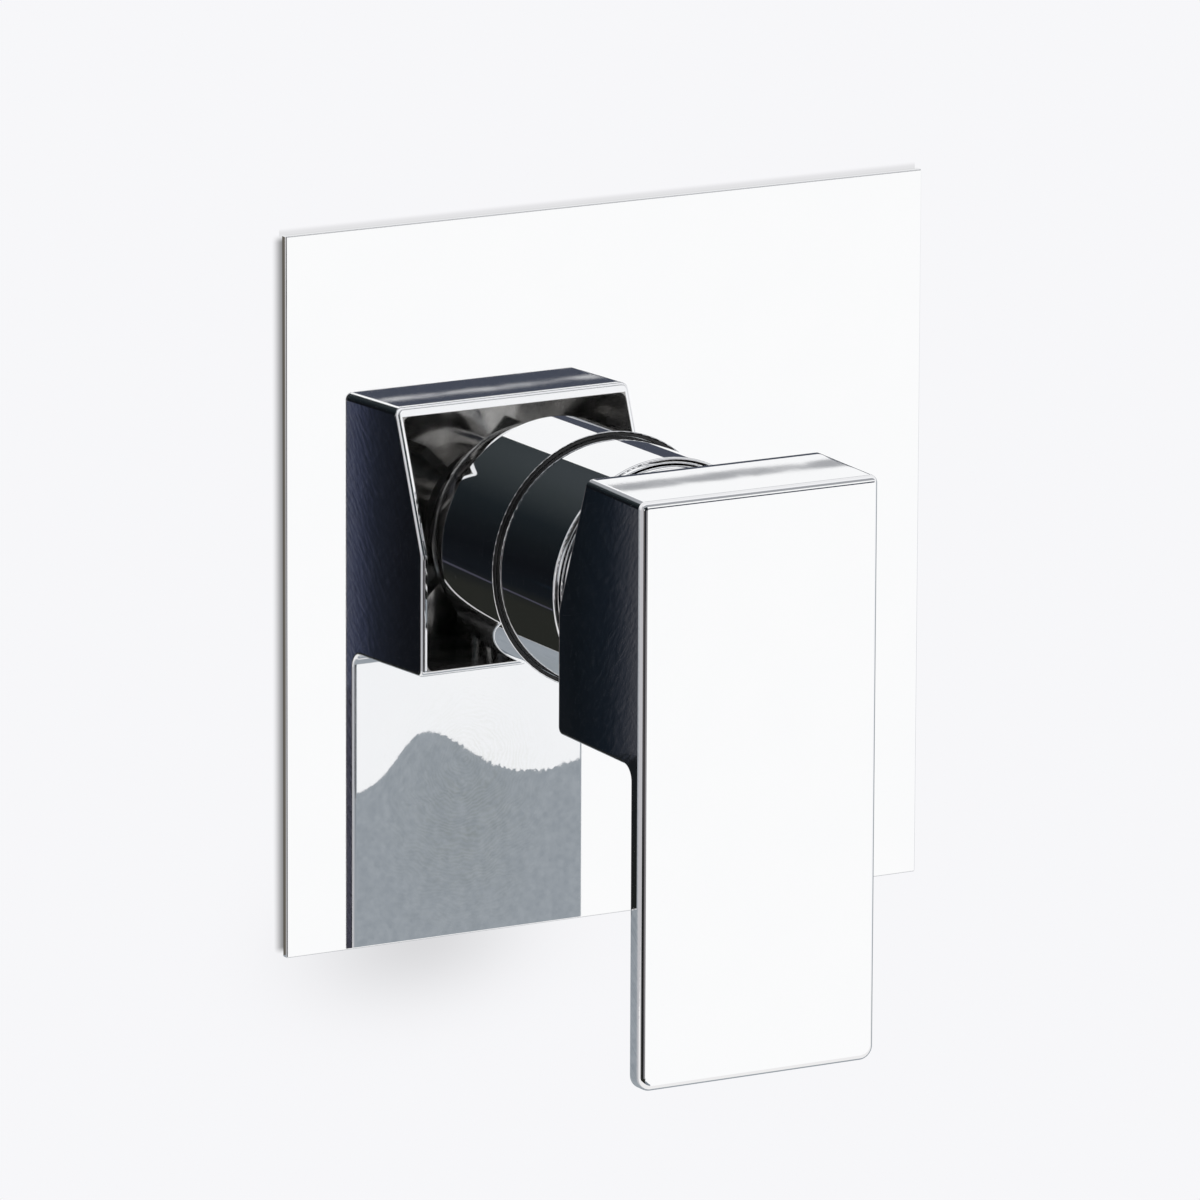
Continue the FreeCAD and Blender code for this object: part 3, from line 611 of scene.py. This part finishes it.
def pipe_thread(mount_name, looks):
    """The screw thread inside one pipe end: a helical ridge that runs out at both ends."""
    mount = mounts[mount_name]
    axis = Vector(mount["axis"]).normalized()
    mouth = Vector(mount["pos_m"])
    radius = mount["dims"]["r_mm"] / 1000
    depth = mount["dims"]["length_mm"] / 1000 - thread_pitch
    first, second = around(axis)
    turns = (depth - thread_pitch) / thread_pitch
    count = int(turns * thread_steps)
    sections = []
    for i in range(count + 1):
        angle = 2 * math.pi * i / thread_steps
        out = first * math.cos(angle) + second * math.sin(angle)
        run = thread_pitch / 2 + thread_pitch * i / thread_steps
        fade = min(1.0, 2 * i / thread_steps, 2 * (count - i) / thread_steps)
        crest = thread_rise * max(fade, thread_end)
        half = thread_pitch / 2 * thread_fill
        foot = radius + thread_rise / 20
        section = []
        for along, inward in ((-half, 0.0), (-half / 4, crest), (half / 4, crest), (half, 0.0)):
            section.append(mouth - axis * (run + along) + out * (foot - inward))
        sections.append(section)
    thread = swept(mount_name + "_thread", sections, looks["brass"])
    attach(thread, "valve")


def check_spring(body_side, looks):
    """The coil of one check valve, built at its rest length. The real coil shortens as its poppet opens;
    this one does not.
    """
    node = body_side + "_check_spring"
    low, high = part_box(node)
    middle = [(low[i] + high[i]) / 2 for i in range(3)]
    radius = (high[2] - low[2]) / 2 - spring_wire / 2
    length = high[0] - low[0] - spring_wire
    steps = spring_turns * thread_steps
    sections = []
    for i in range(steps + 1):
        angle = 2 * math.pi * i / thread_steps
        out = Vector((0, math.cos(angle), math.sin(angle)))
        along = low[0] + spring_wire / 2 + length * i / steps
        centre = Vector((along, middle[1], middle[2])) + out * radius
        section = []
        for k in range(wire_sides):
            turn = 2 * math.pi * k / wire_sides
            aside = out * math.cos(turn) + Vector((1, 0, 0)) * math.sin(turn)
            section.append(centre + aside * spring_wire / 2)
        sections.append(section)
    coil = swept(body_side + "_check_coil", sections, looks["steel"])
    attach(coil, "valve")
    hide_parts(node)
    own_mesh(coil)


# Studio


def glow(name, colour):
    """A plain lit card's paint."""
    material = bpy.data.materials.new(name)
    material.use_nodes = True
    tree = material.node_tree
    tree.nodes.clear()
    light = add(tree, "ShaderNodeEmission", Color=colour, Strength=1.0)
    output = add(tree, "ShaderNodeOutputMaterial")
    link(tree, light.outputs["Emission"], output.inputs["Surface"])
    return material, tree, light, output


def graded_glow(name, axis, stops):
    """A lit card's paint that changes along an axis. stops are (place, colour) in rising order."""
    material, tree, light = glow(name, front_white)[:3]
    along = place_axes(tree)[axis]
    chooser = add(tree, "ShaderNodeValToRGB")
    ramp = chooser.color_ramp
    while len(ramp.elements) < len(stops):
        ramp.elements.new(1.0)
    low = stops[0][0]
    high = stops[-1][0]
    for element, (level, colour) in zip(ramp.elements, stops):
        element.position = (level - low) / (high - low)
        element.color = colour
    link(tree, spread(tree, along, 0.0, 1.0, low, high), chooser.inputs["Fac"])
    link(tree, chooser.outputs["Color"], light.inputs["Color"])
    return material


def front_only(tree, surface, output):
    """Lets the back of a card be looked through."""
    back = add(tree, "ShaderNodeNewGeometry").outputs["Backfacing"]
    clear = add(tree, "ShaderNodeBsdfTransparent")
    mix = add(tree, "ShaderNodeMixShader")
    link(tree, back, mix.inputs["Fac"])
    link(tree, surface, mix.inputs[1])
    link(tree, clear.outputs["BSDF"], mix.inputs[2])
    link(tree, mix.outputs["Shader"], output.inputs["Surface"])


def floor_paint():
    """White to whatever sees the floor straight, in metal or through glass.
    To the lamps it is plain paint."""
    material, tree, light, output = glow("studio_white", background_white)
    paint = add(tree, "ShaderNodeBsdfDiffuse", Color=background_white)
    path = add(tree, "ShaderNodeLightPath")
    straight = path.outputs["Is Camera Ray"]
    for other in ("Is Glossy Ray", "Is Transmission Ray"):
        straight = maths(tree, "MAXIMUM", straight, path.outputs[other])
    mix = add(tree, "ShaderNodeMixShader")
    link(tree, straight, mix.inputs["Fac"])
    link(tree, paint.outputs["BSDF"], mix.inputs[1])
    link(tree, light.outputs["Emission"], mix.inputs[2])
    link(tree, mix.outputs["Shader"], output.inputs["Surface"])
    return material


def wall_paint():
    """The wall as the metal shows it: grey with a fine grain, lighter far at the left
    and white above the plate. Its back is clear."""
    material, tree, light, output = glow("wall_grey", wall_grey)
    grain = spread(tree, noise(tree, 700.0, 3.0), 0.0, 1.0)
    near = colours(tree, grain, wall_grey, wall_light_grey)
    # Painted shade: the wall is darker close to the plate, where the plate and valve shade it, and lighter
    # far at the left
    far = spread(tree, place_axes(tree)[0], 1.0, 0.0, 2 * cad_box[0][0], cad_box[0][0])
    low_part = colours(tree, far, near, wall_far_grey)
    above = spread(tree, place_axes(tree)[2], 0.0, 1.0, 0.0, cad_box[1][2])
    link(tree, colours(tree, above, low_part, wall_high_white), light.inputs["Color"])
    front_only(tree, light.outputs["Emission"], output)
    return material


def shadow_paint():
    """Only the soft shade that the part casts on the wall close around it."""
    material, tree, light, output = glow("wall_shade", (0, 0, 0, 1))
    low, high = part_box("faceplate")
    axes = place_axes(tree)
    start = low[0] - side_shade_end
    full = low[0] - side_shade_full
    beside = spread(tree, axes[0], 0.0, side_shade, start, full, smooth=True)
    beside = maths(tree, "MULTIPLY", beside, maths(tree, "LESS_THAN", axes[0], low[0] + side_shade_end))
    rise = spread(tree, axes[2], 0.0, 1.0, low[2], low[2] + side_shade_end, smooth=True)
    fall = spread(tree, axes[2], 1.0, 0.0, high[2] - side_shade_end, high[2], smooth=True)
    beside = maths(tree, "MULTIPLY", beside, maths(tree, "MULTIPLY", rise, fall))
    over = spread(tree, axes[2], top_shade, 0.0, high[2], high[2] + top_shade_end, smooth=True)
    over = maths(tree, "MULTIPLY", over, maths(tree, "GREATER_THAN", axes[2], high[2] - top_shade_end))
    over = maths(tree, "MULTIPLY", over, within(tree, axes[0], low[0], high[0]))
    across = mound(tree, axes[0], low_shade_middle, low_shade_half_width)
    below = mound(tree, axes[2], low[2], low_shade_drop)
    cast = maths(tree, "MULTIPLY", maths(tree, "MULTIPLY", across, below), low_shade)
    covered = maths(tree, "MAXIMUM", maths(tree, "MAXIMUM", beside, over), cast)
    clear = add(tree, "ShaderNodeBsdfTransparent")
    mix = add(tree, "ShaderNodeMixShader")
    link(tree, covered, mix.inputs["Fac"])
    link(tree, clear.outputs["BSDF"], mix.inputs[1])
    link(tree, light.outputs["Emission"], mix.inputs[2])
    front_only(tree, mix.outputs["Shader"], output)
    return material


def card(name, corners, material):
    mesh = bpy.data.meshes.new(name)
    mesh.from_pydata(corners, [], [tuple(range(len(corners)))])
    sheet = bpy.data.objects.new(name, mesh)
    bpy.context.scene.collection.objects.link(sheet)
    mesh.materials.append(material)
    sheet.visible_camera = False
    sheet.visible_shadow = False
    sheet.visible_diffuse = False
    return sheet


def screen_card(name, left, right, low, high, material, depth=screen_plane):
    corners = [(left, depth, low), (right, depth, low), (right, depth, high), (left, depth, high)]
    return card(name, corners, material)


def floor():
    reach = room_reach
    low = floor_height
    corners = [(-reach, -reach, low), (reach, -reach, low), (reach, reach, low), (-reach, reach, low)]
    sheet = card("floor", corners, floor_paint())
    sheet.visible_camera = True
    sheet.visible_diffuse = True


def wall():
    screen_card("wall", -room_reach, room_reach, floor_height, room_reach, wall_paint(), wall_gap)
    reach = shadow_reach
    shade = screen_card("wall_shade", -reach, reach, -reach, reach, shadow_paint(), wall_gap / 2)
    shade.visible_camera = True


def wall_edge():
    """The shaded wall close beside the plate, as the plate's left edge mirrors it."""
    low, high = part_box("faceplate")
    left = low[0] - wall_edge_reach
    stops = [
        (left, edge_light),
        (low[0] - wall_edge_light, edge_light),
        (low[0] - wall_edge_dark, edge_brown),
        (low[0], edge_brown),
    ]
    paint = graded_glow("wall_edge", 0, stops)
    screen_card("wall_edge", left, low[0], low[2], high[2], paint, wall_gap / 4)


def cards():
    """What the chrome mirrors: a dark room at the left, a white wall in front and a softbox over it."""
    dark = graded_glow("card_dark", 2, dark_stops)
    edge = graded_glow("card_edge", 0, edge_stops)
    hub_side = graded_glow("card_hub", 0, hub_stops)
    stops = [(0.0, slate), (middle_card_top - soft_edge, slate), (middle_card_top, front_white)]
    soft_slate = graded_glow("card_slate", 2, stops)
    reach = screen_reach
    near = screen_plane + screen_step
    white = glow("front_white", front_white)[0]
    room = glow("room_grey", room_grey)[0]
    teal = glow("room_teal", room_teal)[0]
    panel = glow("panel_grey", panel_grey)[0]
    behind = screen_plane - front_card_step
    screen_card("front_card", -reach, reach, floor_height, softbox_top, white, behind)
    screen_card("left_card", dark_card_left, dark_card_right, floor_height, softbox_top, dark)
    screen_card("room_card", -reach, dark_card_left, floor_height, softbox_top, room)
    screen_card("teal_card", dark_card_left, teal_card_right, teal_card_low, softbox_top, teal, near)
    screen_card("edge_card", edge_card_left, edge_card_right, edge_card_low, edge_card_high, edge, near)
    screen_card("hub_card", hub_card_left, hub_card_right, hub_card_low, hub_card_high, hub_side, near)
    violet = glow("lever_violet", lever_violet)[0]
    screen_card("lever_card", lever_card_left, lever_card_right, lever_card_low, hub_card_low, violet, near)
    brown = glow("room_brown", room_brown)[0]
    for name, left, right in (
        ("far_brown_card", dark_card_left, edge_card_left),
        ("near_brown_card", brown_card_right, panel_left),
    ):
        screen_card(name, left, right, brown_card_low, brown_card_high, brown, near)
    screen_card("panel_card", panel_left, dark_card_right, panel_low, panel_high, panel, near)
    screen_card("window_card", window_left, window_right, window_low, window_high, white, near)
    screen_card("middle_card", dark_card_right, middle_card_right, 0.0, middle_card_top, soft_slate)
    ceiling = glow("ceiling_grey", ceiling_grey)[0]
    screen_card("ceiling_card", -reach, reach, softbox_top, screen_top, ceiling)
    table = glow("table_grey", table_grey)[0]
    screen_card("table_card", table_card_left, table_card_right, floor_height, table_card_high, table, near)
    front = screen_plane
    low = floor_height
    top = screen_top
    side = [(-reach, 0, low), (-reach, front, low), (-reach, front, top), (-reach, 0, top)]
    card("side_card", side, room)
    low = ground_height
    ground = [(-reach, front, low), (reach, front, low), (reach, 0, low), (-reach, 0, low)]
    card("ground_card", ground, glow("ground_grey", ground_grey)[0])


def world():
    scene_world = bpy.data.worlds.new("studio")
    scene_world.use_nodes = True
    tree = scene_world.node_tree
    background = tree.nodes["Background"]
    background.inputs["Color"].default_value = background_white
    background.inputs["Strength"].default_value = 1.0
    bpy.context.scene.world = scene_world


def lamp(name, place, size, power):
    light = bpy.data.lights.new(name, "AREA")
    light.energy = power
    light.size = size
    lamp_object = bpy.data.objects.new(name, light)
    lamp_object.location = place
    lamp_object.rotation_euler = (-Vector(place)).to_track_quat("-Z", "Y").to_euler()
    lamp_object.visible_glossy = False
    bpy.context.scene.collection.objects.link(lamp_object)


def camera():
    azimuth = math.radians(camera_azimuth)
    elevation = math.radians(camera_elevation)
    roll = math.radians(camera_roll)
    level = Vector((math.cos(azimuth), -math.sin(azimuth), 0))
    heading = Vector((math.sin(azimuth), math.cos(azimuth), 0))
    ahead = heading * math.cos(elevation) - Vector((0, 0, math.sin(elevation)))
    upward = level.cross(ahead)
    right = math.cos(roll) * level + math.sin(roll) * upward
    top = math.cos(roll) * upward - math.sin(roll) * level
    data = bpy.data.cameras.new("camera")
    data.lens = camera_lens
    data.sensor_width = sensor_width
    data.clip_end = 100.0
    view = bpy.data.objects.new("camera", data)
    plate_front = Vector((0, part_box("faceplate")[0][1], 0))
    place = plate_front + frame_right * right + frame_top * top - camera_distance * ahead
    view.matrix_world = Matrix.Translation(place) @ Matrix((right, top, -ahead)).transposed().to_4x4()
    bpy.context.scene.collection.objects.link(view)
    bpy.context.scene.camera = view


looks = make_looks()
dress_nodes(looks)
for mount_name in ("hot_inlet", "cold_inlet", "shower_outlet"):
    pipe_thread(mount_name, looks)
check_spring("hot", looks)
check_spring("cold", looks)
floor()
wall()
wall_edge()
cards()
world()
lamp("key", key_lamp, lamp_size, key_power)
lamp("back", back_lamp, lamp_size, back_power)
camera()
bpy.context.scene.view_settings.view_transform = "Standard"
